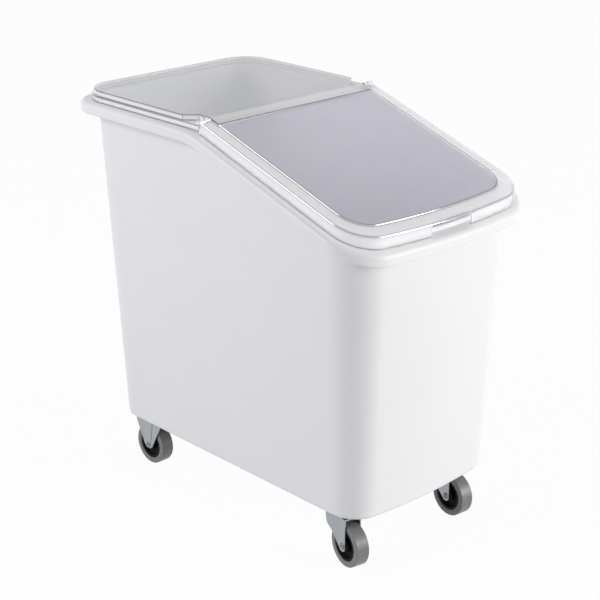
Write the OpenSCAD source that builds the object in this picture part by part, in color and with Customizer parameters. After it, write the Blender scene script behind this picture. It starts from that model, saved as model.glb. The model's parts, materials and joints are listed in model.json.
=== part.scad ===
// Rolling flour bin: slant-top tub on four casters with a two-part clear cover.
// Millimetres. Floor at z = 0, front (the low end) towards -Y, width along X.

/* [Tub] */
// Width over the rim
bin_w = 420; // [380:1:500]
// Length over the rim
bin_l = 712; // [680:1:800]
// How far each side wall draws in from rim to base
side_draft = 22; // [10:0.5:30]
// How far the rear wall draws in from rim to base
rear_draft = 31; // [15:0.5:40]
// How far the front wall draws in from rim to base
front_draft = 19; // [10:0.5:30]
// Wall and floor thickness
wall = 4.5; // [3:0.1:6]
// Depth of the turned-down rim
rim_depth = 20; // [14:0.5:30]
// Rounding of the rim's upper outer edge
rim_round = 8; // [3:0.5:10]
// Height of the upstand inside the covers' skirts
upstand_h = 6.5; // [3:0.5:7]
// Plan radius of the rim's rear corners
rim_rear_r = 58; // [50:1:70]
// Plan radius of the rim's front corners
rim_front_r = 66; // [50:1:80]
// Plan radius of the wall's corners at the rim
wall_r = 60; // [45:1:70]
// Plan radius of the wall's corners at the base
base_r = 46; // [32:1:48]
// Rounding between floor and wall, outside
base_edge_r = 7; // [6:0.5:16]
// How far the front bows outward at its middle
bow = 13.5; // [8:0.5:20]

/* [Covers] */
// Height of the flat top above the ground
top_z = 710; // [680:1:760]
// Length of the flat part, from the rear rim to the hinge line
flat_l = 336; // [300:1:370]
// Slope of the front cover in degrees
slope = 18; // [12:0.5:24]
// From the rim's edge to the skirts, at the sides and the rear
cover_in = 13; // [10:0.5:16]
// From the rim's edge to the skirt, at the front
cover_front_in = 11; // [10:0.5:13]
// Room between the skirts and the tub's upstand
upstand_room = 5; // [4.5:0.25:7]
// Sheet thickness of the covers
cover_t = 3; // [2:0.1:3.5]
// Plan radius of the rear cover's corners
cover_rear_r = 60; // [45:1:70]
// Plan radius of the front cover's corners
cover_front_r = 62; // [45:1:75]
// Height of the panels above the hinge line and its slope
panel_raise = 5.5; // [4:0.1:7]
// Height of the front cover's border above the hinge line's slope
border_lift = 3.5; // [2:0.25:4]
// Depth of the rear skirt below the hinge line
rear_skirt = 13.5; // [12:0.5:15]
// Depth of the front skirt below the hinge line's slope
front_skirt = 18; // [16:0.5:22]
// Ledge between the rear skirt and the raised top
rear_ledge = 4; // [3.5:0.5:6]
// Height of the raised rear top above its ledge
rear_step = 9; // [7:0.5:9]
// Border at the sides of the front panel
panel_side = 23; // [21.5:0.5:26]
// Border ahead of the front panel
panel_front = 24.5; // [22:0.5:36]
// Plan radius of the front panel's corners
panel_r = 50; // [30:1:65]

/* [Hinge] */
// Radius of the hinge knuckles
knuckle_r = 6; // [5:0.25:6.5]
// Diameter of the hinge pins
hinge_pin_d = 5; // [3:0.25:6]
// From the hinge axis to the gap between the covers
tongue_reach = 22; // [20:0.5:26]
// From the hinge axis to the shoulder of the raised rear top
shoulder = 26; // [24:1:34]

/* [Finger notch] */
// Width of the notch in the front skirt
notch_w = 90; // [70:1:110]
// Depth of the finger tab below the border
tab_drop = 8; // [6:0.5:11]
// How far the finger tab sits behind the skirt's face
tab_back = 4; // [3:0.25:4.5]
// Width of each moulded catch beside the notch
catch_w = 8; // [5:0.5:12]
// From the notch's side to the catch's middle
catch_out = 23; // [15:1:35]

/* [Casters] */
// Height between the wheels' tops and the tub's underside
fork_room = 25; // [23:0.5:35]
// From the base's side to the casters' middle
caster_side_in = 41; // [40:0.5:60]
// From the base's front to the kingpins
caster_front_in = 78; // [70:1:100]
// From the base's rear to the rear axles
caster_rear_in = 51; // [50:1:80]
// Heading of the left front caster, from straight ahead
heading_left = -11; // [-180:1:180]
// Heading of the right front caster, from straight ahead
heading_right = -6; // [-180:1:180]
// How far the front axles trail from the kingpins
trail = 25; // [20:0.5:28]
// Diameter of the wheels
wheel_d = 75; // [65:0.5:100]
// Width of the tyres
tyre_w = 25; // [20:0.5:30]
// Space between a tyre and each leg of its fork
tyre_room = 1.5; // [1:0.25:3]
// Rounding of the tyres' shoulders
tyre_round = 2; // [1:0.25:5]
// Outer diameter of the wheel hubs
hub_d = 54; // [46:1:60]
// Diameter of the hub's boss
boss_d = 22; // [18:0.5:26]
// Thickness of the hub's web
web_t = 9; // [6:0.5:14]
// Thickness of the hub's rim
hub_rim_t = 4; // [3:0.5:5]
// Wall thickness of the axle bushes
bush_t = 2; // [1:0.25:3]
// Diameter of the axles
axle_d = 8; // [6:0.5:10]
// Diameter of the axle heads
axle_head_d = 12; // [11:0.5:13]
// Thickness of the axle heads
axle_head_t = 2.2; // [1.5:0.1:4]
// Size across flats of the axle nuts
axle_nut_af = 13; // [11:0.5:15]
// Thickness of the axle nuts
axle_nut_t = 6.5; // [5:0.25:8]
// Sheet thickness of the forks and plates
sheet_t = 2.5; // [2:0.1:3]
// Width of a swivel leg at its top
swivel_leg_w = 56; // [52:1:60]
// How far a swivel leg's front edge is ahead of the axle
leg_nose = 7; // [6.5:0.25:9]
// Radius of a swivel leg's lower end
leg_end_r = 8; // [7.5:0.25:9]
// How far that end's middle is below the axle
leg_drop = 1.5; // [0:0.25:2]
// Width of a rigid leg at its top
rigid_leg_w = 66; // [56:1:68]
// Radius of a rigid leg's lower end
rigid_end_r = 13; // [10:0.5:14]
// How far that end's middle is above the axle
rigid_lift = 6; // [2:0.5:6.5]
// Bolt spacing along the mounting plates
bolt_l = 46; // [44:0.5:48]
// From the bolts to the mounting plate's edge
plate_edge = 10; // [9:0.25:12]
// Corner radius of the mounting plates
plate_r = 6; // [3:0.5:8]

/* [Swivel bearing] */
// Diameter of the swivel race
race_d = 46; // [42:0.5:48]
// Thickness of the upper race under its plate
race_t = 5; // [4:0.25:6]
// Diameter of the bearing balls
ball_d = 6; // [5:0.25:6.5]
// Number of bearing balls
ball_count = 14; // [8:1:14]
// Radius of the ring of balls
ball_ring_r = 17; // [16:0.25:17.5]
// How deep the balls sit in each race
ball_seat = 1.1; // [0.8:0.1:1.5]
// Diameter of the kingpins
kingpin_d = 10; // [8:0.5:12]
// Diameter of the kingpin heads
kingpin_head_d = 20; // [16:0.5:22]
// Thickness of the kingpin heads
kingpin_head_t = 3.5; // [2.5:0.25:4.5]

/* [Fasteners] */
// Diameter of the plate bolts
bolt_d = 6; // [5:0.25:6.5]
// Diameter of the bolt heads
bolt_head_d = 11; // [9:0.5:11.5]
// Height of the bolt heads
bolt_head_t = 3.3; // [2.5:0.1:4]
// Wall thickness of the threaded inserts
insert_t = 1.5; // [1:0.25:2]
// Length of the threaded inserts
insert_l = 8; // [6:0.5:9]
// Diameter of the bosses that hold the inserts
floor_boss_d = 16; // [14:0.5:17]
// Thickness of the bosses over the inserts
boss_roof = 3; // [2:0.25:4]

/* [Fits] */
// Gap under the skirts and between moving faces
seat_gap = 0.3; // [0.2:0.05:0.5]
// Half of the gap between the two covers at the split
split_gap = 0.4; // [0.3:0.05:0.8]
// Radial clearance of pins and axles
pin_fit = 0.05; // [0.03:0.01:0.08]
// Radial clearance of bolts in their holes
hole_fit = 0.2; // [0.1:0.05:0.4]
// Side play of a hub between the fork's legs
hub_play = 0.5; // [0.3:0.05:0.8]
// Space between a bolt head and the nearest leg
head_room = 0.5; // [0.5:0.25:1.5]

/* [Hidden] */
$fn = 64;
// Facets of the long shallow arc at the front of the covers
bow_facets = 720;
// Points along one rounded corner, and along the bowed front, of the tub's outlines
corner_steps = 8;
front_steps = 8;
// Half of the length over which the rim bends from flat to slope
rim_bend = 24;
// Overlap used where one cut has to pass another face
over = 1;
// How far a straight side runs into a round end, so that the two meet at a real corner
bite = 0.1;

SIDES = [["left", -1], ["right", 1]];
CORNERS = [
    ["front_left", -1, -1],
    ["front_right", 1, -1],
    ["rear_left", -1, 1],
    ["rear_right", 1, 1]
];

// The hinge line and the sloped planes through it
fall = tan(slope);
hinge_y = bin_l / 2 - flat_l;
hinge_z = top_z - panel_raise;
function slope_z(y, below) = hinge_z - (hinge_y - y) * fall - below;

// The rim's top follows both skirts, with a smooth bend between flat and slope
skirt_z = hinge_z - rear_skirt;
rim_flat_z = skirt_z - seat_gap;
rim_kink_y = hinge_y + (front_skirt - rear_skirt) / fall;
function rim_z(y) =
    y > rim_kink_y + rim_bend ? rim_flat_z
    : y < rim_kink_y - rim_bend ? rim_flat_z - (rim_kink_y - y) * fall
    : rim_flat_z - fall * pow(rim_kink_y + rim_bend - y, 2) / (4 * rim_bend);

// Outlines of the tub: half width, rear, front corner line, rear and front radius, bow
rim_over = cover_in + cover_t + upstand_room;
wall_half = bin_w / 2 - rim_over;
wall_rear = bin_l / 2 - rim_over;
wall_front = -bin_l / 2 + rim_over;
base_half = wall_half - side_draft;
base_rear = wall_rear - rear_draft;
base_front = wall_front + front_draft;
rim_line = [bin_w / 2, bin_l / 2, -bin_l / 2 + bow, rim_rear_r, rim_front_r, bow];
wall_line = [wall_half, wall_rear, wall_front + bow, wall_r, wall_r, bow];
base_line = [base_half, base_rear, base_front + bow, base_r, base_r, bow];
function inset(s, i) = [s[0] - i, s[1] - i, s[2] + i, s[3] - i, s[4] - i, s[5]];
function spot(cx, cy, r, a) = [cx + r * cos(a), cy + r * sin(a)];
function arc(cx, cy, r, from) = [for (k = [0 : corner_steps]) spot(cx, cy, r, from + 90 * k / corner_steps)];
function side(x, dir) = [for (k = [-2 : 2]) [x, rim_kink_y + dir * k * rim_bend / 2]];
function bowed(pts, s) = [for (p = pts) [p[0], p[1] - s[5] * (1 - pow(p[0] / s[0], 2))]];
function outline(s) = concat(
    arc(s[0] - s[3], s[1] - s[3], s[3], 0),
    arc(-s[0] + s[3], s[1] - s[3], s[3], 90),
    side(-s[0], -1),
    bowed(arc(-s[0] + s[4], s[2] + s[4], s[4], 180), s),
    bowed([for (k = [1 : front_steps - 1]) [(s[0] - s[4]) * (2 * k / front_steps - 1), s[2]]], s),
    bowed(arc(s[0] - s[4], s[2] + s[4], s[4], 270), s),
    side(s[0], 1)
);
function level(s, z) = [for (p = outline(s)) [p[0], p[1], z]];
function along_rim(s, dz) = [for (p = outline(s)) [p[0], p[1], rim_z(p[1]) + dz]];

// Covers: the front arc and its centre
cover_half = bin_w / 2 - cover_in;
cover_rear_y = bin_l / 2 - cover_in;
cover_front_y = -bin_l / 2 + cover_front_in;
bow_r = (cover_half * cover_half + bow * bow) / (2 * bow);
bow_cy = cover_front_y + bow_r;
ledge_z = top_z - rear_step;
tongue_x = cover_half - panel_side;
knuckle_in = tongue_x + split_gap + cover_t / 2;
knuckle_l = (panel_side - cover_t / 2 - 3 * split_gap) / 2;
knuckle_mid = knuckle_in + knuckle_l + split_gap;
tab_r = (pow(notch_w / 2, 2) + tab_drop * tab_drop) / (2 * tab_drop);

// Casters: levels above the ground
wheel_r = wheel_d / 2;
caster_h = wheel_d + fork_room;
floor_z = caster_h + wall;
plate_z = caster_h - sheet_t;
race_z = plate_z - race_t;
crown_z = race_z - ball_d + 2 * ball_seat;
fork_gap = tyre_w + 2 * tyre_room;
leg_x = fork_gap / 2;
hub_w = fork_gap - 2 * hub_play;
bush_d = axle_d + 2 * bush_t;
bush_bore = axle_d + 2 * pin_fit;
hub_bore = bush_d + 2 * pin_fit;
bolt_w = fork_gap + 2 * sheet_t + bolt_head_d + 2 * head_room;
plate_l = bolt_l + 2 * plate_edge;
plate_w = bolt_w + 2 * plate_edge;
insert_d = bolt_d + 2 * insert_t;
boss_z = caster_h + insert_l + boss_roof;
caster_x = base_half - caster_side_in;
front_caster_y = base_front + caster_front_in;
rear_caster_y = base_rear - caster_rear_in;

// Moves a piece to a caster, from [name, side, end]
module at_caster(c) {
    translate([c[1] * caster_x, c[2] < 0 ? front_caster_y : rear_caster_y, 0]) children();
}

// Moves a wheel piece from the caster's middle to its axle
module at_axle(c) {
    at_caster(c) swivelled(c) translate([0, c[2] < 0 ? -trail : 0, wheel_r]) children();
}

// Turns what swivels on a front caster to its heading
module swivelled(c) {
    rotate(c[2] > 0 ? 0 : c[1] < 0 ? heading_left : heading_right) children();
}

// Turns a round piece so that it lies along the axle
module crosswise() {
    rotate([0, 90, 0]) children();
}

// Extrudes a side view, drawn as [y, z] points, across the width
module across(half) {
    translate([-half, 0, 0]) rotate([90, 0, 90]) linear_extrude(2 * half) children();
}

// Places its children at the four bolts of a mounting plate
module at_bolts() {
    for (x = [-1, 1], y = [-1, 1]) translate([x * bolt_w / 2, y * bolt_l / 2, 0]) children();
}

// Closed skin through a list of rings, from the outer base to the inner floor
module skin(rings) {
    n = len(rings[0]);
    m = len(rings);
    last = (m - 1) * n;
    base_hub = [0, 0, rings[0][0][2]];
    floor_hub = [0, 0, rings[m - 1][0][2]];
    faces = concat(
        [for (i = [0 : n - 1]) [i, (i + 1) % n, m * n]],
        [for (k = [0 : m - 2], i = [0 : n - 1])
            [k * n + i, (k + 1) * n + i, (k + 1) * n + (i + 1) % n]],
        [for (k = [0 : m - 2], i = [0 : n - 1])
            [k * n + i, (k + 1) * n + (i + 1) % n, k * n + (i + 1) % n]],
        [for (i = [0 : n - 1]) [last + (i + 1) % n, last + i, m * n + 1]]
    );
    polyhedron(concat([for (r = rings) each r], [base_hub, floor_hub]), faces);
}

// Rounded edge between a floor and a wall: rings from the floor outwards
function edge_rings(s, z, r) =
    [for (a = [0 : 30 : 90]) level(inset(s, r * (1 - sin(a))), z + r * (1 - cos(a)))];

module bin_body() {
    inner_r = base_edge_r - wall;
    inner_edge = edge_rings(inset(base_line, wall), floor_z, inner_r);
    color("white") difference() {
        union() {
            skin(concat(
                edge_rings(base_line, caster_h, base_edge_r),
                [
                    along_rim(wall_line, -wall),
                    along_rim(inset(rim_line, wall), -wall),
                    along_rim(inset(rim_line, wall), -rim_depth),
                    along_rim(inset(rim_line, wall / 4), -rim_depth),
                    along_rim(rim_line, wall / 2 - rim_depth)
                ],
                [for (a = [0 : 30 : 90])
                    along_rim(inset(rim_line, rim_round * (1 - cos(a))), rim_round * (sin(a) - 1))],
                [
                    along_rim(wall_line, 0),
                    along_rim(wall_line, upstand_h),
                    along_rim(inset(wall_line, wall), upstand_h)
                ],
                [for (k = [len(inner_edge) - 1 : -1 : 0]) inner_edge[k]]
            ));
            for (c = CORNERS) at_caster(c) at_bolts()
                translate([0, 0, floor_z - over]) cylinder(d = floor_boss_d, h = boss_z - floor_z + over);
        }
        for (c = CORNERS) at_caster(c) at_bolts()
            translate([0, 0, caster_h - over]) cylinder(d = insert_d + 2 * pin_fit, h = insert_l + seat_gap + over);
    }
}

// Plan of a cover piece: straight sides, rounded corners and the bowed front
module bowed_plan(half, rear_y, rear_r, front_r, arc_r) {
    cx = half - front_r;
    cy = bow_cy - sqrt(pow(arc_r - front_r, 2) - cx * cx);
    touch_x = cx * arc_r / (arc_r - front_r);
    translate([-half, cy]) square([2 * half, rear_y - rear_r - cy]);
    translate([rear_r - half, cy]) square([2 * (half - rear_r), rear_y - cy]);
    for (s = [-1, 1]) {
        translate([s * (half - rear_r), rear_y - rear_r]) circle(rear_r);
        translate([s * cx, cy]) circle(front_r);
    }
    intersection() {
        translate([0, bow_cy]) circle(arc_r, $fn = bow_facets);
        translate([-touch_x, cover_front_y - over]) square([2 * touch_x, cy - cover_front_y + front_r / 2]);
    }
}

module cover_plan(i) {
    bowed_plan(cover_half - i, cover_rear_y - i, cover_rear_r - i, cover_front_r - i, bow_r - i);
}

module panel_plan(i) {
    bowed_plan(tongue_x - i, hinge_y + panel_r, panel_r - i, panel_r - i, bow_r - panel_front - i);
}

// Plan of the raised rear top, which narrows to the tongue between the knuckles
module raised_plan(i) {
    full = cover_half;
    step_y = hinge_y + shoulder + i;
    run = full - tongue_x;
    intersection() {
        cover_plan(rear_ledge + i);
        polygon([
            [-tongue_x + i, hinge_y], [tongue_x - i, hinge_y], [tongue_x - i, step_y], [full, step_y + run],
            [full, cover_rear_y], [-full, cover_rear_y], [-full, step_y + run], [-tongue_x + i, step_y]
        ]);
    }
}

// Prism over a plan, tall enough to reach past both covers
module tall() {
    translate([0, 0, caster_h]) linear_extrude(top_z) children();
}

// Slab that follows the slope, between two depths below the hinge line's slope
module slope_slab(from, to) {
    near = hinge_y - split_gap;
    far = -bin_l / 2 - over;
    across(bin_w / 2) polygon([
        [near, slope_z(near, from)], [far, slope_z(far, from)], [far, slope_z(far, to)], [near, slope_z(near, to)]
    ]);
}

// Round bar along the hinge axis, mirrored to both ends of the hinge
module hinge_bar(r, from, to) {
    for (s = [-1, 1]) translate([s > 0 ? from : -to, hinge_y, hinge_z]) crosswise() cylinder(r = r, h = to - from);
}

// The tongue of the rear cover: bends from the flat top down the slope to the gap
module tongue() {
    rear = hinge_y + shoulder;
    tip = hinge_y - tongue_reach - over;
    intersection() {
        union() {
            across(tongue_x) polygon([
                [rear, top_z], [hinge_y, top_z], [tip, slope_z(tip, -panel_raise)],
                [tip, slope_z(tip, cover_t - panel_raise)], [hinge_y, top_z - cover_t], [rear, top_z - cover_t]
            ]);
            for (s = [-1, 1]) translate([s * (tongue_x - cover_t / 2), 0, 0]) across(cover_t / 2) polygon([
                [rear, top_z], [hinge_y, top_z], [tip, slope_z(tip, -panel_raise)],
                [tip, slope_z(tip, 0)], [hinge_y, hinge_z], [rear, hinge_z]
            ]);
        }
        union() {
            hinge_bar(tongue_reach - split_gap, 0, tongue_x);
            translate([-tongue_x, hinge_y, hinge_z - over]) cube([2 * tongue_x, shoulder, panel_raise + 2 * over]);
        }
    }
}

module rear_cover() {
    rear_y = hinge_y + split_gap;
    run = cover_rear_y - rear_y;
    color("aliceblue", 0.5) difference() {
        union() {
            intersection() {
                tall() cover_plan(0);
                translate([-cover_half, rear_y, skirt_z]) cube([2 * cover_half, run, ledge_z - skirt_z]);
            }
            translate([0, 0, ledge_z - cover_t]) linear_extrude(cover_t + rear_step) raised_plan(0);
            tongue();
            hinge_bar(knuckle_r, knuckle_mid, knuckle_mid + knuckle_l);
        }
        difference() {
            intersection() {
                tall() cover_plan(cover_t);
                translate([-cover_half, rear_y - over, skirt_z - over])
                    cube([2 * cover_half, run + over, ledge_z - skirt_z + over - cover_t]);
            }
            hinge_bar(knuckle_r, knuckle_mid, knuckle_mid + knuckle_l);
        }
        difference() {
            translate([0, 0, skirt_z]) linear_extrude(top_z - cover_t - skirt_z) raised_plan(cover_t);
            hinge_bar(knuckle_r, knuckle_mid, knuckle_mid + knuckle_l);
        }
        hinge_bar(knuckle_r + seat_gap, tongue_x, knuckle_mid - split_gap / 2);
        hinge_bar(hinge_pin_d / 2 + pin_fit, tongue_x, cover_half);
    }
}

// Curved finger tab that hangs in the notch, set back from the skirt's face
module finger_tab() {
    front_z = slope_z(cover_front_y, -border_lift);
    intersection() {
        tall() difference() {
            cover_plan(tab_back);
            cover_plan(tab_back + cover_t);
        }
        translate([0, cover_front_y + bow, front_z + tab_r - tab_drop])
            rotate([90, 0, 0]) cylinder(r = tab_r, h = 2 * bow, center = true);
        translate([-notch_w / 2, cover_front_y, front_z - front_skirt])
            cube([notch_w, bow, front_skirt + bow]);
        slope_slab(cover_t / 2 - border_lift, front_skirt);
    }
}

// Small moulded wedges on the inside of the front skirt, beside the notch
module catches() {
    rise = front_skirt / 3;
    for (s = [-1, 1]) {
        x = s * (notch_w / 2 + catch_out);
        y = bow_cy - sqrt(pow(bow_r - cover_t, 2) - x * x) - split_gap;
        z = slope_z(y, front_skirt);
        translate([x, 0, 0]) across(catch_w / 2) polygon([[y, z], [y + cover_t, z + rise / 2], [y, z + rise]]);
    }
}

module front_cover() {
    front_z = slope_z(cover_front_y, 0);
    color("lightsteelblue", 0.5) difference() {
        union() {
            difference() {
                union() {
                    intersection() {
                        tall() cover_plan(0);
                        slope_slab(-border_lift, front_skirt);
                    }
                    intersection() {
                        tall() panel_plan(0);
                        slope_slab(-panel_raise, cover_t);
                    }
                }
                intersection() {
                    tall() cover_plan(cover_t);
                    slope_slab(cover_t - border_lift, front_skirt + over);
                }
                intersection() {
                    tall() panel_plan(cover_t);
                    slope_slab(cover_t - panel_raise, cover_t + over);
                }
                hinge_bar(tongue_reach + split_gap, 0, tongue_x + split_gap);
                hinge_bar(knuckle_r + seat_gap, knuckle_mid - split_gap / 2, cover_half + over);
                translate([-notch_w / 2, cover_front_y - over, front_z - front_skirt - over])
                    cube([notch_w, cover_t + 2 * over, front_skirt + border_lift - cover_t + over]);
            }
            finger_tab();
            catches();
            hinge_bar(knuckle_r, knuckle_in, knuckle_in + knuckle_l);
        }
        hinge_bar(hinge_pin_d / 2 + pin_fit, tongue_x, cover_half);
    }
}

module hinge_pin(s) {
    color("lightgrey") translate([s * (knuckle_in + knuckle_mid + knuckle_l) / 2, hinge_y, hinge_z])
        crosswise() cylinder(d = hinge_pin_d, h = knuckle_mid + knuckle_l - knuckle_in, center = true);
}

// Outline of a mounting plate with its bolt holes
module plate_outline() {
    difference() {
        union() {
            square([plate_w - 2 * plate_r, plate_l], center = true);
            square([plate_w, plate_l - 2 * plate_r], center = true);
            for (x = [-1, 1], y = [-1, 1])
                translate([x * (plate_w / 2 - plate_r), y * (plate_l / 2 - plate_r)]) circle(plate_r);
        }
        at_bolts() circle(d = bolt_d + 2 * hole_fit);
    }
}

// Groove that the balls run in
module ball_groove() {
    translate([0, 0, (race_z + crown_z) / 2]) rotate_extrude() translate([ball_ring_r, 0])
        circle(d = ball_d + 2 * pin_fit);
}

module swivel_plate(c) {
    color("silver") at_caster(c) difference() {
        union() {
            translate([0, 0, plate_z]) linear_extrude(sheet_t) plate_outline();
            translate([0, 0, race_z]) cylinder(d = race_d, h = race_t);
        }
        translate([0, 0, race_z - over]) cylinder(d = kingpin_d + 2 * pin_fit, h = caster_h - race_z + 2 * over);
        ball_groove();
    }
}

module swivel_balls(c) {
    color("gainsboro") at_caster(c) translate([0, 0, (race_z + crown_z) / 2])
        for (k = [0 : ball_count - 1]) rotate(360 * k / ball_count) translate([ball_ring_r, 0, 0]) sphere(d = ball_d);
}

module kingpin(c) {
    head_z = crown_z - sheet_t - seat_gap;
    color("grey") at_caster(c) {
        translate([0, 0, head_z]) cylinder(d = kingpin_d, h = caster_h - head_z);
        translate([0, 0, head_z - kingpin_head_t]) cylinder(d = kingpin_head_d, h = kingpin_head_t);
    }
}

// Where a line from a point ends just inside the lower side of a circle, almost touching it
function touch(centre, r, point) =
    let (d = point - centre, inner = r - bite, a = atan2(d[1], d[0]) - acos(inner / norm(d)))
    centre + inner * [cos(a), sin(a)];

// Side view of a swivel leg: upright in front, drawn in behind the axle to a round lower end
module swivel_leg() {
    front = -trail - leg_nose;
    rear = front + swivel_leg_w;
    top = crown_z - sheet_t;
    dz = top - wheel_r;
    end = [front + leg_end_r, wheel_r - leg_drop];
    waist = [front + 0.66 * swivel_leg_w, wheel_r + 0.33 * dz];
    polygon([
        [front, top], [front, end[1]], end, touch(end, leg_end_r, waist), waist,
        [rear - 0.07 * swivel_leg_w, wheel_r + 0.48 * dz], [rear, wheel_r + 0.75 * dz], [rear, top]
    ]);
    translate(end) circle(leg_end_r);
}

// Side view of a rigid leg: a wide V with a round lower end
module rigid_leg() {
    half = rigid_leg_w / 2;
    knee_z = wheel_r + 0.7 * (plate_z - wheel_r);
    end = [0, wheel_r + rigid_lift];
    low = touch(end, rigid_end_r, [half, knee_z]);
    polygon([
        [-half, plate_z], [-half, knee_z], [-low[0], low[1]], low, [half, knee_z], [half, plate_z]
    ]);
    translate(end) circle(rigid_end_r);
}

// A side view as both legs of a fork, with the axle's holes
module legs(axle_y) {
    for (s = [-1, 1]) translate([s * (leg_x + sheet_t / 2), 0, 0]) across(sheet_t / 2) difference() {
        children();
        translate([axle_y, wheel_r]) circle(d = bush_bore);
    }
}

module swivel_fork(c) {
    color("lightgrey") at_caster(c) swivelled(c) difference() {
        union() {
            legs(-trail) swivel_leg();
            translate([-leg_x - sheet_t, -trail - leg_nose, crown_z - sheet_t])
                cube([fork_gap + 2 * sheet_t, swivel_leg_w, sheet_t]);
            translate([0, 0, crown_z - sheet_t]) cylinder(d = race_d, h = sheet_t);
        }
        translate([0, 0, crown_z - sheet_t - over]) cylinder(d = kingpin_d + 2 * pin_fit, h = sheet_t + 2 * over);
        ball_groove();
    }
}

module rigid_fork(c) {
    color("lightgrey") at_caster(c) {
        translate([0, 0, plate_z]) linear_extrude(sheet_t) plate_outline();
        legs(0) rigid_leg();
    }
}

// Axle bolt, its domed head on the left
module axle(c) {
    outer = leg_x + sheet_t;
    color("silver") at_axle(c) crosswise() {
        translate([0, 0, -outer]) cylinder(d = axle_d, h = 2 * outer + axle_nut_t);
        translate([0, 0, -outer - axle_head_t]) cylinder(d1 = axle_head_d * 0.7, d2 = axle_head_d, h = axle_head_t);
    }
}

module axle_nut(c) {
    color("silver") at_axle(c) crosswise() translate([0, 0, leg_x + sheet_t]) difference() {
        cylinder(d = axle_nut_af / cos(30), h = axle_nut_t, $fn = 6);
        translate([0, 0, -over]) cylinder(d = axle_d + 2 * pin_fit, h = axle_nut_t + 2 * over);
    }
}

module bush(c) {
    color("silver") at_axle(c) crosswise() difference() {
        cylinder(d = bush_d, h = fork_gap, center = true);
        cylinder(d = bush_bore, h = fork_gap + 2 * over, center = true);
    }
}

module hub(c) {
    r = hub_d / 2;
    color("black") at_axle(c) crosswise() rotate_extrude() {
        translate([hub_bore / 2, -hub_w / 2]) square([(boss_d - hub_bore) / 2, hub_w]);
        translate([hub_bore / 2, -web_t / 2]) square([r - hub_rim_t - hub_bore / 2 + over, web_t]);
        translate([r - hub_rim_t, -tyre_w / 2]) square([hub_rim_t, tyre_w]);
    }
}

module tyre(c) {
    inner = hub_d / 2;
    color("dimgrey") at_axle(c) crosswise() rotate_extrude() {
        translate([inner, -tyre_w / 2]) square([wheel_r - tyre_round - inner, tyre_w]);
        translate([inner, tyre_round - tyre_w / 2]) square([wheel_r - inner, tyre_w - 2 * tyre_round]);
        for (s = [-1, 1]) translate([wheel_r - tyre_round, s * (tyre_w / 2 - tyre_round)]) circle(tyre_round);
    }
}

// Bolts that come up through a plate, with their heads below it
module plate_bolts(c) {
    color("silver") at_caster(c) at_bolts() {
        translate([0, 0, plate_z]) cylinder(d = bolt_d, h = caster_h + insert_l - seat_gap - plate_z);
        translate([0, 0, plate_z - bolt_head_t])
            cylinder(d1 = bolt_head_d * 0.8, d2 = bolt_head_d, h = bolt_head_t);
    }
}

// Threaded sleeves moulded into the bosses of the tub's floor
module plate_inserts(c) {
    color("silver") at_caster(c) at_bolts() translate([0, 0, caster_h]) difference() {
        cylinder(d = insert_d, h = insert_l);
        translate([0, 0, -over]) cylinder(d = bolt_d + 2 * pin_fit, h = insert_l + 2 * over);
    }
}

bin_body();
rear_cover();
front_cover();
for (s = SIDES) {
    hinge_pin(s[1]);
    swivel_plate([s[0], s[1], -1]);
    swivel_balls([s[0], s[1], -1]);
    kingpin([s[0], s[1], -1]);
    swivel_fork([s[0], s[1], -1]);
    rigid_fork([s[0], s[1], 1]);
}
for (c = CORNERS) {
    axle(c);
    axle_nut(c);
    bush(c);
    hub(c);
    tyre(c);
    plate_bolts(c);
    plate_inserts(c);
}
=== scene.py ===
# Rolling flour bin: a white slant-top tub on four casters, under a clear cover in two parts.
# Metres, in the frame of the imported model: the ground at z = 0 and the low front towards -Y.
import json
import math

import bmesh
import bpy
from mathutils import Matrix, Vector


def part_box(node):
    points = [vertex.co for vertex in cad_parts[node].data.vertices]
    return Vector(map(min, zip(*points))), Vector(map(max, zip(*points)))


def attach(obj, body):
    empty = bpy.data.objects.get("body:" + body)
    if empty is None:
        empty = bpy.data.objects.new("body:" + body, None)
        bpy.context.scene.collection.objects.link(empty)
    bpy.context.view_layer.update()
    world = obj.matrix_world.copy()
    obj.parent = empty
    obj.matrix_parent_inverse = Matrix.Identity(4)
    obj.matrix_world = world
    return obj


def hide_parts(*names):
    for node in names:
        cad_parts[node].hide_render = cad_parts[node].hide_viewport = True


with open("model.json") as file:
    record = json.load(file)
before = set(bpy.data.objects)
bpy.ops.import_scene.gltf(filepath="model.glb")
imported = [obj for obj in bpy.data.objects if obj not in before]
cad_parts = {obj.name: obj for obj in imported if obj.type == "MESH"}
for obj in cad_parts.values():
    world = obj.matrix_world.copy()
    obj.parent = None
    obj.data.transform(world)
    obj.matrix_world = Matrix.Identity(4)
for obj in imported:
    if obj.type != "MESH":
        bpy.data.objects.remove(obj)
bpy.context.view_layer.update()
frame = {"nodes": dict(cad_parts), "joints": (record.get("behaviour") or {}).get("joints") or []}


# The tub is one moulding in white polyethylene. Its walls draw in towards the floor, its front bows
# out a little, and its rim turns out and down all round, with an upstand that the covers sit over.
tub_low, tub_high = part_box("bin_body")
joints = {joint["name"]: joint for joint in frame["joints"]}
hinge_y, hinge_z = joints["front_cover_hinge"]["pos_m"][1:]
tub_wall = 0.0045
tub_bow = 0.0135
tub_upstand = 0.0065
tub_lip = 0.020
slope = math.tan(math.radians(18))
rim_flat = tub_high.z - tub_upstand
kink_drop = 0.0045
rim_kink = hinge_y + kink_drop / slope
rim_bend = 0.024
rim_width = 0.021
side_draw, rear_draw, front_draw = 0.022, 0.031, 0.019
wall_corner, base_corner = 0.060, 0.046
rim_line = (tub_high.x, tub_high.y, tub_low.y + tub_bow, 0.058, 0.066)
wall_line = (rim_line[0] - rim_width, rim_line[1] - rim_width, rim_line[2] + rim_width, wall_corner,
             wall_corner)
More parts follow.
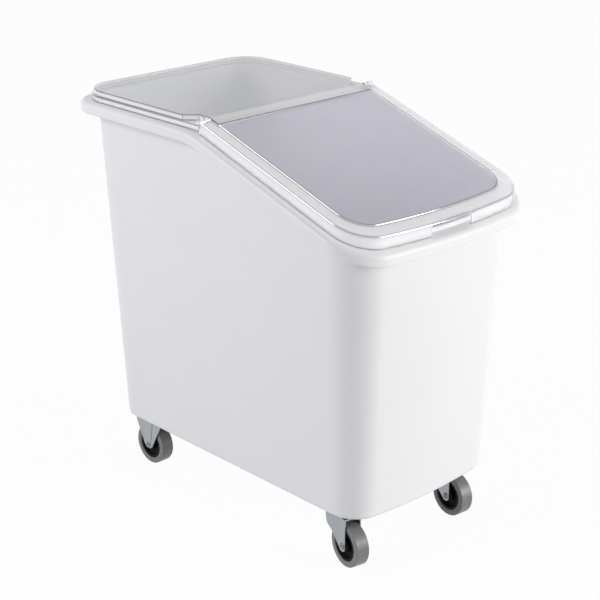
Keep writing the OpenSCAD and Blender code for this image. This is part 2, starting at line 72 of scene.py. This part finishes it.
base_line = (wall_line[0] - side_draw, wall_line[1] - rear_draw, wall_line[2] + front_draw, base_corner,
             base_corner)
corner_steps = 14
side_cuts, front_cuts, rear_cuts = 79, 23, 11
shortest_side = 0.1


def inset_line(line, by):
    """The same outline (half width, rear, front, radius of the rear and front corners), further in."""
    half, rear, front, rear_r, front_r = line
    return half - by, rear - by, front + by, rear_r - by, front_r - by


def rim_top(y):
    """Height of the rim's upper face: level at the rear, then a smooth bend into the slope."""
    if y > rim_kink + rim_bend:
        return rim_flat
    if y < rim_kink - rim_bend:
        return rim_flat - (rim_kink - y) * slope
    return rim_flat - slope * (rim_kink + rim_bend - y) ** 2 / (4 * rim_bend)


def tub_ring(line, height):
    """One closed ring of edges round the tub, with round corners and a bowed front."""
    half, rear, front, rear_r, front_r = line
    bm = bmesh.new()
    spots = ((half, rear), (-half, rear), (-half, front), (half, front))
    turns = [bm.verts.new((x, y, 0)) for x, y in spots]
    bm.faces.new(turns)
    for pair, radius in ((turns[:2], rear_r), (turns[2:], front_r)):
        bmesh.ops.bevel(bm, geom=pair, offset=radius, offset_type="OFFSET", affect="VERTICES",
                        segments=corner_steps, profile=0.5, material=-1)
    for edge in [e for e in bm.edges if e.calc_length() > shortest_side]:
        middle = (edge.verts[0].co + edge.verts[1].co) / 2
        cuts = side_cuts if abs(middle.x) > half / 2 else rear_cuts if middle.y > 0 else front_cuts
        bmesh.ops.subdivide_edges(bm, edges=[edge], cuts=cuts)
    for vert in bm.verts:
        if vert.co.y < 0:
            vert.co.y -= tub_bow * (1 - (vert.co.x / half) ** 2)
        vert.co.z = height(vert.co.y)
    bmesh.ops.delete(bm, geom=bm.faces[:], context="FACES_ONLY")
    return bm


def join_to(bm, other):
    """Adds another modelled shape to this one."""
    mesh = bpy.data.meshes.new("joined")
    other.to_mesh(mesh)
    other.free()
    bm.from_mesh(mesh)
    bpy.data.meshes.remove(mesh)


lip_line = inset_line(rim_line, tub_wall)
inner_wall = inset_line(wall_line, tub_wall)
inner_base = inset_line(base_line, tub_wall)
tub_sections = (
    (base_line, lambda y: tub_low.z, 0.007),
    (wall_line, lambda y: rim_top(y) - tub_wall, 0.006),
    (lip_line, lambda y: rim_top(y) - tub_wall, 0.003),
    (lip_line, lambda y: rim_top(y) - tub_lip, 0.0012),
    (rim_line, lambda y: rim_top(y) - tub_lip, 0.0022),
    (rim_line, rim_top, 0.008),
    (wall_line, rim_top, 0.0015),
    (wall_line, lambda y: rim_top(y) + tub_upstand, 0.0012),
    (inner_wall, lambda y: rim_top(y) + tub_upstand, 0.0012),
    (inner_base, lambda y: tub_low.z + tub_wall, 0.005),
)
bm = bmesh.new()
wear_and_painted_rim = bm.faces.layers.float.new("wear_and_painted_rim")
for line, height, _ in tub_sections:
    join_to(bm, tub_ring(line, height))
bm.edges.ensure_lookup_table()
ring_size = len(bm.edges) // len(tub_sections)
tub_rings = [bm.edges[k * ring_size:(k + 1) * ring_size] for k in range(len(tub_sections))]
for outer, inner in zip(tub_rings, tub_rings[1:]):
    bmesh.ops.bridge_loops(bm, edges=outer + inner)
bmesh.ops.contextual_create(bm, geom=tub_rings[0])
bmesh.ops.contextual_create(bm, geom=tub_rings[-1])
bmesh.ops.recalc_face_normals(bm, faces=bm.faces)
for ring, (_, _, radius) in zip(tub_rings, tub_sections):
    rounded = bmesh.ops.bevel(bm, geom=ring, offset=radius, offset_type="OFFSET", affect="EDGES",
                              segments=4, profile=0.5, clamp_overlap=False, material=-1)
    for face in rounded["faces"]:
        face[wear_and_painted_rim] = 1
corners = ("front_left", "front_right", "rear_left", "rear_right")
insert_r = 0.0045
boss_r, boss_tip_r, boss_height, boss_brow = 0.008, 0.0077, 0.007, 0.0012
boss_middle = tub_low.z + 0.0075
for corner in corners:
    low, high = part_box("plate_inserts_" + corner)
    for x in (low.x + insert_r, high.x - insert_r):
        for y in (low.y + insert_r, high.y - insert_r):
            spot = Matrix.Translation((x, y, boss_middle))
            boss = bmesh.ops.create_cone(bm, cap_ends=True, segments=32, radius1=boss_r, radius2=boss_tip_r,
                                         depth=boss_height, matrix=spot)["verts"]
            brow = [e for e in bm.edges if e.verts[0] in boss and min(v.co.z for v in e.verts) > boss_middle]
            bmesh.ops.bevel(bm, geom=brow, offset=boss_brow, offset_type="OFFSET", affect="EDGES", segments=2,
                            profile=0.5, material=-1)


def piece_from(bm, name, finish, sharp=40, broad=1.0):
    """The modelled mesh as an object of its own, smooth but for sharp edges and broad flat faces."""
    for face in bm.faces:
        face.smooth = face.calc_area() < broad
    mesh = bpy.data.meshes.new(name)
    bm.to_mesh(mesh)
    bm.free()
    mesh.set_sharp_from_angle(angle=math.radians(sharp))
    mesh.materials.append(finish)
    piece = bpy.data.objects.new(name, mesh)
    bpy.context.scene.collection.objects.link(piece)
    even = piece.modifiers.new("even shading", "WEIGHTED_NORMAL")
    even.keep_sharp = True
    return piece


class Wire:
    """A socket in a material's node tree, on which sums add their Math nodes."""

    def __init__(self, tree, socket=None):
        self.tree = tree
        self.socket = socket

    def node(self, kind, settings=None, sockets=None, out=0):
        """Adds a node: its settings first, then the values or links of its sockets."""
        made = self.tree.nodes.new("ShaderNode" + kind)
        for name, value in (settings or {}).items():
            setattr(made, name, value)
        for name, value in (sockets or {}).items():
            if isinstance(value, Wire):
                self.tree.links.new(value.socket, made.inputs[name])
            else:
                made.inputs[name].default_value = value
        return Wire(self.tree, made.outputs[out] if made.outputs else None)

    def sum(self, operation, *values):
        """Adds a Math node on these values."""
        return self.node("Math", {"operation": operation}, dict(enumerate(values)))

    def __add__(self, other):
        return self.sum("ADD", self, other)

    def __sub__(self, other):
        return self.sum("SUBTRACT", self, other)

    def __rsub__(self, other):
        return self.sum("SUBTRACT", other, self)

    def __mul__(self, other):
        return self.sum("MULTIPLY", self, other)

    __radd__ = __add__
    __rmul__ = __mul__


def new_finish(name):
    """An empty material, with the wire that its nodes are added from and the piece's own coordinates."""
    finish = bpy.data.materials.new(name)
    finish.use_nodes = True
    finish.node_tree.nodes.clear()
    wire = Wire(finish.node_tree)
    return finish, wire, wire.node("TexCoord", out=3)


def grain(wire, place, scale, detail=3.0, roughness=0.5):
    """Soft random grain from 0 to 1, with so many spots to the metre."""
    sockets = {"Vector": place, "Scale": scale, "Detail": detail, "Roughness": roughness}
    return wire.node("TexNoise", None, sockets)


def blend_colour(wire, amount, first, second):
    """A colour between two, by an amount from 0 to 1."""
    return wire.node("Mix", {"data_type": "RGBA"}, {0: amount, 6: first, 7: second}, out=2)


def marked_faces(wire, mark):
    """1 on the faces that the modelling gave this mark, 0 elsewhere."""
    return wire.node("Attribute", {"attribute_name": mark}, out=2)


def edge_wear_and_shade(wire):
    """1 on the rounded edges, 0 elsewhere: real wear on most pieces, and painted dark edge lines on the clear
    covers and pins.
    """
    return marked_faces(wire, "wear_and_painted_rim")


def relief(wire, height, strength, depth=0.0002):
    """A fine bump of the surface."""
    return wire.node("Bump", None, {"Strength": strength, "Distance": depth, "Height": height})


def principled(wire, **sockets):
    """The surface shader, with these sockets."""
    return wire.node("BsdfPrincipled", None, {n.replace("_", " "): v for n, v in sockets.items()})


def close_finish(wire, **sockets):
    """Ends a material in one surface shader with these sockets."""
    wire.node("OutputMaterial", None, {"Surface": principled(wire, **sockets)})


white_moulding, wire, place = new_finish("white_moulding")
cloud = grain(wire, place, 7, 4.0)
peel = grain(wire, place, 420, 2.0)
handled = edge_wear_and_shade(wire) * grain(wire, place, 90, 4.0)
close_finish(
    wire,
    Base_Color=blend_colour(wire, cloud - 0.7 * handled, (0.845, 0.845, 0.855, 1), (0.875, 0.875, 0.885, 1)),
    Roughness=0.40 + 0.12 * cloud - 0.10 * handled,
    Normal=relief(wire, peel, 0.16, 0.0003),
)
tub = piece_from(bm, "tub", white_moulding)
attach(tub, "bin")
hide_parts("bin_body")


# The covers are clear polycarbonate, pressed from 3 mm sheet. The rear one is flat with a stepped
# skirt and rests on the rim; its tongue bends down the slope between the hinges.
def moulded_copy(node):
    """A node's own mesh with its loose triangles joined into whole faces, ready for rounding."""
    bm = bmesh.new()
    for mark in ("wear_and_painted_rim", "fold", "panel", "frost"):
        bm.faces.layers.float.new(mark)
    bm.from_mesh(frame["nodes"][node].data)
    bmesh.ops.remove_doubles(bm, verts=bm.verts, dist=2e-6)
    bmesh.ops.dissolve_limit(bm, angle_limit=math.radians(0.4), verts=bm.verts, edges=bm.edges)
    return bm


def round_edges(bm, radius, steps=2, wanted=lambda edge: True, mark="wear_and_painted_rim"):
    """Rounds each edge that bends enough and that the test lets through, and marks its new faces."""
    layers = bm.faces.layers.float
    marked = layers.get(mark) or layers.new(mark)
    least_bend = 0.6
    edges = [e for e in bm.edges if len(e.link_faces) == 2 and e.calc_face_angle() > least_bend and wanted(e)]
    rounded = bmesh.ops.bevel(bm, geom=edges, offset=radius, offset_type="OFFSET", affect="EDGES",
                              segments=steps, profile=0.5, clamp_overlap=False, material=-1)
    for face in rounded["faces"]:
        face[marked] = 1


lying, upright = 0.9, 0.2


def on_top(edge):
    """Whether an edge is between a face that looks up and one that stands, on the sheet's outer side."""
    lean = sorted(f.normal.z for f in edge.link_faces)
    return lean[1] > lying and abs(lean[0]) < upright


def underneath(edge):
    """Whether one of an edge's faces looks down."""
    return min(f.normal.z for f in edge.link_faces) < -lying


cover_top = hinge_z + 0.0055
cover_sheet = 0.003
cover_broad = 0.002


def panel_depth(place):
    """How far a point is below the panels' upper plane, which is level and then runs down the slope."""
    return cover_top - max(0.0, hinge_y - place.y) * slope - place.z


def on_panel(edge):
    """Whether an edge is at the outline of the raised panel."""
    return on_top(edge) and max(panel_depth(v.co) for v in edge.verts) < 0.001


def sheet_edges(bm, panel_mark, outline, fold, fold_mark):
    """Marks a cover's panel on both sides, rounds its outline, folds and cut edges, and keeps it flat."""
    panel = bm.faces.layers.float[panel_mark]
    near, level, tongue_share = 0.0006, 0.98, 0.45
    for face in bm.faces:
        depths = [panel_depth(v.co) for v in face.verts]
        for side in (0.0, cover_sheet):
            if abs(face.normal.z) > lying and all(abs(depth - side) < near for depth in depths):
                whole = panel_mark == "frost" or face.normal.z ** 2 > level
                face[panel] = 1 if whole else tongue_share
    round_edges(bm, outline, 2, on_panel)
    round_edges(bm, fold, 3, on_top, fold_mark)
    round_edges(bm, 0.0009, 1, underneath)
    round_edges(bm, 0.0005, 1, lambda e: e.calc_length() > 0.004)
    for face in bm.faces:
        if face.calc_area() > cover_broad and abs(face.normal.z) > lying:
            depths = sorted(panel_depth(v.co) for v in face.verts)
            for vert in face.verts:
                vert.co.z += panel_depth(vert.co) - depths[len(depths) // 2]


clear_sheet, wire, place = new_finish("clear_sheet")
haze = grain(wire, place, 24, 4.0)
scuffs = grain(wire, place, 260, 5.0, 0.65)
flat = marked_faces(wire, "panel")
frosted = marked_faces(wire, "frost")
# The covers' rounded outlines, cut edges and folds are painted as dark grey lines and made more opaque there:
# painted shade, standing in for the light that clear plastic bends away at its edges.
painted_fold_lines = marked_faces(wire, "fold")
painted_edge_lines = edge_wear_and_shade(wire)
tilt = wire.node("LayerWeight", None, {"Blend": 0.5}, out=1)
sheen = wire.sum("MAXIMUM", 1.0 - flat - painted_edge_lines, 0.0)
# The frosted panel reflects less towards its low front end, so it is darker there: painted shade, standing in
# for the shade inside the tub.
down_slope = wire.node("SeparateXYZ", None, {"Vector": place}, out=1)
shade_start_y, shade_full_y = -0.10, -0.29
low_end_shade = wire.node("MapRange", None, {"Value": down_slope, "From Min": shade_start_y, "From Max": shade_full_y})
low_end_shade = low_end_shade * frosted
glint = 0.04 + 0.96 * wire.sum("POWER", tilt, 5.0) + 0.24 * sheen - 0.04 * frosted - 0.10 * low_end_shade
milk = 0.36 + 0.06 * haze - 0.13 * flat - 0.10 * frosted + 0.28 * painted_fold_lines + 0.44 * painted_edge_lines
# The panels' milk is grey, and lilac grey on the frosted front panel: painted shade, standing in for the dim
# inside of the tub seen through them.
tone = blend_colour(wire, flat, (0.92, 0.925, 0.94, 1), (0.60, 0.61, 0.66, 1))
tone = blend_colour(wire, frosted, tone, (0.65, 0.64, 0.735, 1))
# Painted shade: dark grey on the front cover's folds, near black on the rounded edges.
tone = blend_colour(wire, painted_fold_lines, tone, (0.28, 0.29, 0.31, 1))
tone = blend_colour(wire, painted_edge_lines, tone, (0.11, 0.115, 0.125, 1))
bump = relief(wire, scuffs, 0.05)
clear = wire.node("BsdfTransparent", None, {"Color": (0.985, 0.987, 0.992, 1)})
milky = principled(wire, Base_Color=tone, Roughness=0.30 + 0.15 * haze, IOR=1.5)
# The mirror is grey on the flat panels and lilac grey on the frosted one: painted shade in the reflection,
# standing in for surroundings less bright than the white world.
mirrored = blend_colour(wire, flat, (1, 1, 1, 1), (0.62, 0.625, 0.64, 1))
mirrored = blend_colour(wire, frosted, mirrored, (0.69, 0.68, 0.745, 1))
blur = 0.05 + 0.08 * haze + 0.25 * frosted
shine = principled(wire, Base_Color=mirrored, Metallic=1.0, Roughness=blur, Normal=bump)
inside = wire.node("MixShader", None, {0: milk, 1: clear, 2: milky})
surface = wire.node("MixShader", None, {0: glint, 1: inside, 2: shine})
shadow = wire.node("LightPath", out=1)
lit_through = wire.node("BsdfTransparent", None, {"Color": (0.97, 0.97, 0.975, 1)})
surface = wire.node("MixShader", None, {0: shadow, 1: surface, 2: lit_through})
wire.node("OutputMaterial", None, {"Surface": surface})
bm = moulded_copy("rear_cover")
sheet_edges(bm, "panel", 0.0013, 0.0012, "wear_and_painted_rim")
rear_sheet = piece_from(bm, "rear_sheet", clear_sheet, broad=cover_broad)
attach(rear_sheet, "rear_cover")
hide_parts("rear_cover")


# The front cover slopes down from the hinges, with a raised frosted panel, a deep skirt, and a finger
# notch whose curved tab hangs a little behind the skirt. It lifts and folds back over the rear cover.
bm = moulded_copy("front_cover")
border_cuts = [((0, hinge_y - 0.05, 0), (0, 1, 0))]
border_cuts += [((x, 0, 0), (1, 0, 0)) for x in (0.11, -0.11, 0.05, -0.05)]
for spot, across in border_cuts:
    bmesh.ops.bisect_plane(bm, geom=bm.verts[:] + bm.edges[:] + bm.faces[:], plane_co=spot, plane_no=across)
sheet_edges(bm, "frost", 0.0016, 0.0024, "fold")
front_sheet = piece_from(bm, "front_sheet", clear_sheet, broad=cover_broad)
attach(front_sheet, "front_cover")
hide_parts("front_cover")


# The hinge pins are moulded in the same clear plastic as the covers. They snap into the knuckles at
# both ends of the kink, and stay with the rear cover.
for side in ("left", "right"):
    bm = moulded_copy("hinge_pin_" + side)
    round_edges(bm, 0.0006)
    pin = piece_from(bm, "cover_pin_" + side, clear_sheet)
    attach(pin, "rear_cover")
    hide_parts("hinge_pin_" + side)


# Each tyre is a solid ring of grey rubber with a flat tread, moulded with a narrow groove at the side
# where it grips the hub.
grey_rubber, wire, place = new_finish("grey_rubber")
dust = grain(wire, place, 55, 5.0)
pores = grain(wire, place, 1500, 2.0)
rubbed = edge_wear_and_shade(wire) * dust
close_finish(
    wire,
    Base_Color=blend_colour(wire, 0.6 * dust + 0.4 * rubbed,
                            (0.165, 0.166, 0.168, 1), (0.235, 0.236, 0.238, 1)),
    Roughness=0.26 + 0.24 * dust,
    Normal=relief(wire, pores, 0.10),
)
round_steps = 96
tyre_low, tyre_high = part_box("tyre_rear_left")
tread_r, tread_half = (tyre_high.z - tyre_low.z) / 2, (tyre_high.x - tyre_low.x) / 2


def turned(profile, rounds=()):
    """Turns a closed profile of (along, radius) points about the axle, after rounding some corners."""
    bm = bmesh.new()
    wear_and_painted_rim = bm.faces.layers.float.new("wear_and_painted_rim")
    points = [bm.verts.new((x, 0, r)) for x, r in profile]
    bm.faces.new(points)
    for k, radius, steps in rounds:
        bmesh.ops.bevel(bm, geom=[points[k]], offset=radius, offset_type="OFFSET", affect="VERTICES",
                        segments=steps, profile=0.5, material=-1)
    bmesh.ops.delete(bm, geom=bm.faces[:], context="FACES_ONLY")
    bmesh.ops.spin(bm, geom=bm.verts[:] + bm.edges[:], cent=(0, 0, 0), axis=(1, 0, 0), angle=2 * math.pi,
                   steps=round_steps, use_merge=True)
    bmesh.ops.recalc_face_normals(bm, faces=bm.faces)
    tread_like, side_like = 0.15, 0.985
    for face in bm.faces:
        face[wear_and_painted_rim] = float(tread_like < abs(face.normal.x) < side_like)
    return bm


def to_wheel(bm, corner):
    """Moves a piece made round the origin to its wheel, and turns it to that wheel's heading."""
    joint = joints["wheel_" + corner]
    heading = math.atan2(joint["axis"][1], joint["axis"][0])
    place = Matrix.Translation(joint["pos_m"]) @ Matrix.Rotation(heading, 4, "Z")
    bmesh.ops.transform(bm, matrix=place, verts=bm.verts)


hub_r = 0.027
groove = tread_half - 0.0008
lip_r, side_r = hub_r + 0.0012, hub_r + 0.002
tyre_half = [(groove, hub_r), (groove, lip_r), (tread_half, side_r), (tread_half, tread_r)]
tyre_profile = [(-groove, hub_r)] + tyre_half + [(-x, r) for x, r in reversed(tyre_half[1:])]
tread_round = 0.002
for corner in corners:
    bm = turned(tyre_profile, ((4, tread_round, 6), (5, tread_round, 6)))
    to_wheel(bm, corner)
    tyre = piece_from(bm, "rubber_tyre_" + corner, grey_rubber)
    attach(tyre, "wheel_" + corner)
    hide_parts("tyre_" + corner)


# Each hub is black moulded nylon: a rim under the tyre, a web that thickens outwards, and a boss that
# turns on the axle's bush.
black_nylon, wire, place = new_finish("black_nylon")
fleck = grain(wire, place, 700, 3.0)
close_finish(
    wire,
    Base_Color=blend_colour(wire, fleck + 0.6 * edge_wear_and_shade(wire),
                            (0.004, 0.004, 0.0045, 1), (0.009, 0.009, 0.010, 1)),
    Roughness=0.50 + 0.18 * fleck,
    Specular_IOR_Level=0.12,
    Normal=relief(wire, fleck, 0.10),
)
hub_low, hub_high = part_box("hub_rear_left")
boss_x = (hub_high.x - hub_low.x) / 2
hub_rim_x = tread_half - 0.0006
hub_bore_r = 0.00605
hub_boss = [(boss_x, hub_bore_r), (boss_x, 0.0098), (boss_x - 0.0012, 0.011)]
hub_web = [(0.0045, 0.0115), (0.0055, 0.0215), (hub_rim_x, 0.0232), (hub_rim_x, hub_r)]
hub_half = hub_boss + hub_web
for corner in corners:
    bm = turned(hub_half + [(-x, r) for x, r in reversed(hub_half)])
    to_wheel(bm, corner)
    hub = piece_from(bm, "wheel_hub_" + corner, black_nylon, sharp=30)
    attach(hub, "wheel_" + corner)
    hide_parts("hub_" + corner)


# The forks are pressed from 2.5 mm steel sheet and zinc plated. A rigid fork hangs from its own plate
# on wide V-shaped legs with a pressed rib; a swivel fork hangs from a crown with a ball race.
zinc_plate, wire, place = new_finish("zinc_plate")
spangle = wire.node("TexVoronoi", {"feature": "F1"}, {"Vector": place, "Scale": 420.0}, out=1)
spangle = wire.node("RGBToBW", None, {"Color": spangle})
tarnish = grain(wire, place, 60, 4.0)
close_finish(
    wire,
    Base_Color=blend_colour(wire, 0.5 * spangle + 0.4 * tarnish + 0.3 * edge_wear_and_shade(wire),
                            (0.30, 0.325, 0.345, 1), (0.47, 0.495, 0.515, 1)),
    Metallic=0.85,
    Roughness=0.30 + 0.16 * spangle,
    Normal=relief(wire, tarnish, 0.08, 0.0001),
)
sheet = 0.0025
sheet_edge = 0.0005
tyre_gap = 0.0015
leg_x = tread_half + tyre_gap + sheet / 2
wheel_z = joints["wheel_rear_left"]["pos_m"][2]


def rounded_slab(bm, low, high, radius, along):
    """A rectangular piece of sheet between two corners, with its edges along one axis rounded."""
    low, high = Vector(low), Vector(high)
    size = high - low
    middle = Matrix.Translation((low + high) / 2) @ Matrix.Diagonal((size.x, size.y, size.z, 1))
    verts = bmesh.ops.create_cube(bm, size=1, matrix=middle)["verts"]
    edges = [e for e in {e for v in verts for e in v.link_edges}
             if abs((e.verts[0].co - e.verts[1].co).normalized().dot(Vector(along))) > 0.9]
    edges.sort(key=lambda e: tuple(e.verts[0].co + e.verts[1].co))
    bmesh.ops.bevel(bm, geom=edges, offset=radius, offset_type="OFFSET", affect="EDGES", segments=6,
                    profile=0.5, clamp_overlap=False, material=-1)


def hull(bm):
    """Wraps all the points of a shape in flat faces."""
    wrapped = bmesh.ops.convex_hull(bm, input=bm.verts[:])
    bmesh.ops.delete(bm, geom=wrapped["geom_interior"], context="VERTS")
    bmesh.ops.dissolve_limit(bm, angle_limit=math.radians(0.5), verts=bm.verts, edges=bm.edges)


def rigid_leg(x, top):
    """One V-shaped leg, with a rib pressed out of its middle."""
    bm = bmesh.new()
    knee = 0.7 * top
    half_width, foot_r, foot_z = 0.033, 0.013, 0.006
    for side in (x - sheet / 2, x + sheet / 2):
        foot = Matrix.Translation((side, 0, foot_z)) @ Matrix.Rotation(math.pi / 2, 4, "Y")
        bmesh.ops.create_circle(bm, cap_ends=False, segments=48, radius=foot_r, matrix=foot)
        for y in (-half_width, half_width):
            bm.verts.new((side, y, knee))
            bm.verts.new((side, y, top))
    hull(bm)
    rib = bmesh.new()
    outer = x + math.copysign(sheet / 2, x)
    rib_foot, rib_head, rib_low, rib_high = 0.0085, 0.0150, 0.009, top - 0.002
    for rise, less in ((-0.0005, 0.0), (0.0009, 0.0016)):
        face_x = outer + math.copysign(rise, x)
        for end in (-1, 1):
            rib.verts.new((face_x, end * (rib_foot - less), rib_low + less))
            rib.verts.new((face_x, end * (rib_head - less), rib_high))
    hull(rib)
    join_to(bm, rib)
    return bm


swivel_front, swivel_depth, trail = -0.007, 0.056, 0.025


def swivel_leg(x, top):
    """One leg that stands upright in front and draws in behind the axle to a round lower end."""
    bm = bmesh.new()
    outline = (
        (0, top, 0), (0, -0.0095, 0.0075), (0.0114, -0.0095, 0.003), (0.037, 0.016, 0.005),
        (0.052, 0.0234, 0.004), (swivel_depth, 0.0365, 0.003), (swivel_depth, top, 0),
    )
    points = [bm.verts.new((x - sheet / 2, swivel_front + back, z)) for back, z, _ in outline]
    bm.faces.new(points)
    for point, (_, _, radius) in zip(points, outline):
        if radius:
            bmesh.ops.bevel(bm, geom=[point], offset=radius, offset_type="OFFSET", affect="VERTICES",
                            segments=6, profile=0.5, material=-1)
    grown = bmesh.ops.extrude_face_region(bm, geom=bm.faces[:])["geom"]
    far_side = [v for v in grown if isinstance(v, bmesh.types.BMVert)]
    bmesh.ops.translate(bm, verts=far_side, vec=(sheet, 0, 0))
    bmesh.ops.recalc_face_normals(bm, faces=bm.faces)
    return bm


plate_corner, crown_bend = 0.006, 0.0012
race_r, race_rim_r, race_height = 0.021, 0.023, sheet + 0.0004
for side in ("left", "right"):
    low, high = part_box("rigid_fork_" + side)
    half_x, half_y, top = (high.x - low.x) / 2, (high.y - low.y) / 2, high.z - wheel_z
    bm = bmesh.new()
    rounded_slab(bm, (-half_x, -half_y, top - sheet), (half_x, half_y, top), plate_corner, (0, 0, 1))
    for end in (-1, 1):
        join_to(bm, rigid_leg(end * leg_x, top - sheet))
    round_edges(bm, sheet_edge)
    to_wheel(bm, "rear_" + side)
    fork = piece_from(bm, "rear_fork_" + side, zinc_plate)
    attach(fork, "bin")
    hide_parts("rigid_fork_" + side)

    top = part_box("swivel_fork_" + side)[1].z - wheel_z
    outer = leg_x + sheet / 2
    bm = bmesh.new()
    swivel_back = swivel_front + swivel_depth
    rounded_slab(bm, (-outer, swivel_front, top - sheet), (outer, swivel_back, top), crown_bend, (0, 1, 0))
    bmesh.ops.create_cone(bm, cap_ends=True, segments=72, radius1=race_r, radius2=race_rim_r,
                          depth=race_height, matrix=Matrix.Translation((0, trail, top - sheet / 2)))
    for end in (-1, 1):
        join_to(bm, swivel_leg(end * leg_x, top - sheet / 2))
    round_edges(bm, sheet_edge)
    to_wheel(bm, "front_" + side)
    fork = piece_from(bm, "front_fork_" + side, zinc_plate)
    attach(fork, "swivel_" + side)
    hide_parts("swivel_fork_" + side)


# Above each swivel fork is its zinc-plated top plate with the upper race, a ring of steel balls, and
# the kingpin that holds them together.
drawn_steel, wire, place = new_finish("drawn_steel")
drawn_out = wire.node("Mapping", None, {"Vector": place, "Scale": (40.0, 900.0, 900.0)})
streaks = grain(wire, drawn_out, 1.0)
close_finish(
    wire,
    Base_Color=blend_colour(wire, streaks + 0.5 * edge_wear_and_shade(wire),
                            (0.13, 0.13, 0.14, 1), (0.24, 0.24, 0.25, 1)),
    Metallic=1.0,
    Roughness=0.24 + 0.16 * streaks,
    Normal=relief(wire, streaks, 0.08, 0.0001),
)


def finish_node(node, finish):
    """Gives a CAD node a finish and leaves its mesh as it is."""
    slots = frame["nodes"][node].data.materials
    slots.clear()
    slots.append(finish)


for side in ("left", "right"):
    bm = moulded_copy("swivel_plate_" + side)
    round_edges(bm, 0.0004)
    plate = piece_from(bm, "caster_plate_" + side, zinc_plate)
    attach(plate, "bin")
    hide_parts("swivel_plate_" + side)
    for part in ("swivel_balls_", "kingpin_"):
        finish_node(part + side, drawn_steel)


# The axles are steel bolts with a dished head on the left and a nut on the right, over a plain steel
# bush that the hub turns on.
head_brim, head_dish = 0.0012, 0.0014
for corner in corners:
    body = "swivel_" + corner.split("_")[1] if corner.startswith("front") else "bin"
    bm = moulded_copy("axle_" + corner)
    left = -Vector(joints["wheel_" + corner]["axis"])
    crown = max(bm.faces, key=lambda f: f.calc_center_median().dot(left))
    bmesh.ops.inset_individual(bm, faces=[crown], thickness=head_brim, depth=-head_dish)
    round_edges(bm, 0.0004)
    bolt = piece_from(bm, "axle_bolt_" + corner, drawn_steel)
    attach(bolt, body)
    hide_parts("axle_" + corner)
    bm = moulded_copy("axle_nut_" + corner)
    round_edges(bm, 0.0006)
    nut = piece_from(bm, "axle_end_nut_" + corner, zinc_plate)
    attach(nut, body)
    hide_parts("axle_nut_" + corner)
    finish_node("bush_" + corner, drawn_steel)


# Four bolts with low heads come up through each caster plate, into threaded inserts that are moulded
# into bosses of the tub's floor.
floor_fixings = (("plate_bolts_", "floor_bolts_", 0.0007), ("plate_inserts_", "floor_inserts_", 0.0003))
for corner in corners:
    for part, name, radius in floor_fixings:
        bm = moulded_copy(part + corner)
        round_edges(bm, radius)
        fixing = piece_from(bm, name + corner, zinc_plate)
        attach(fixing, "bin")
        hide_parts(part + corner)


# The studio: a white floor that fades into a white background, a soft box at the left and another
# at the right, and the camera in front of the bin's front left corner.
scene = bpy.context.scene
scene.view_settings.view_transform = "Standard"


def seen_directly(wire):
    """1 for rays from the camera, also by way of a mirror or through glass, and 0 for light."""
    path = wire.node("LightPath").socket.node.outputs
    rays = [Wire(wire.tree, path[ray]) for ray in ("Is Camera Ray", "Is Glossy Ray", "Is Transmission Ray")]
    return wire.sum("MINIMUM", rays[0] + rays[1] + rays[2], 1.0)


bm = bmesh.new()
bmesh.ops.create_grid(bm, x_segments=1, y_segments=1, size=12)
studio_floor, wire, place = new_finish("studio_floor")
floor_glow = 0.965
paper = wire.node("BsdfDiffuse", None, {"Color": (0.8, 0.8, 0.8, 1)})
glow = wire.node("Emission", None, {"Color": (1, 1, 1, 1), "Strength": 1.0})
surface = wire.node("MixShader", None, {0: floor_glow * seen_directly(wire), 1: paper, 2: glow})
wire.node("OutputMaterial", None, {"Surface": surface})
ground = piece_from(bm, "ground", studio_floor)

world = bpy.data.worlds.new("white_room")
scene.world = world
world.use_nodes = True
world.node_tree.nodes.clear()
wire = Wire(world.node_tree)
fill = 0.36
strength = fill + (1 - fill) * seen_directly(wire)
background = wire.node("Background", None, {"Color": (1, 1, 1, 1), "Strength": strength})
wire.node("OutputWorld", None, {"Surface": background})


def soft_box(name, place, target, size, power, colour=(1, 1, 1)):
    """A square lamp that faces a point."""
    lamp = bpy.data.lights.new(name, "AREA")
    lamp.shape = "SQUARE"
    lamp.size = size
    lamp.energy = power
    lamp.color = colour
    box = bpy.data.objects.new(name, lamp)
    box.location = place
    box.rotation_euler = (Vector(target) - Vector(place)).to_track_quat("-Z", "Y").to_euler()
    scene.collection.objects.link(box)


soft_box("left_box", place=(-3.0, 1.6, 2.0), target=(-0.2, 0, 0.4), size=2.0, power=62,
         colour=(0.985, 0.975, 1.045))
soft_box("right_box", place=(2.6, -4.6, 1.6), target=(0, -0.3, 0.4), size=2.6, power=184)

target = Vector((0.0, -0.006, 0.360))
eye = Vector((-1.7221, -1.8096, 1.3198))
lens = bpy.data.cameras.new("camera")
lens.lens = 92.5
lens.sensor_width = 36.0
camera = bpy.data.objects.new("camera", lens)
camera.location = eye
camera.rotation_euler = (target - eye).to_track_quat("-Z", "Y").to_euler()
scene.collection.objects.link(camera)
scene.camera = camera
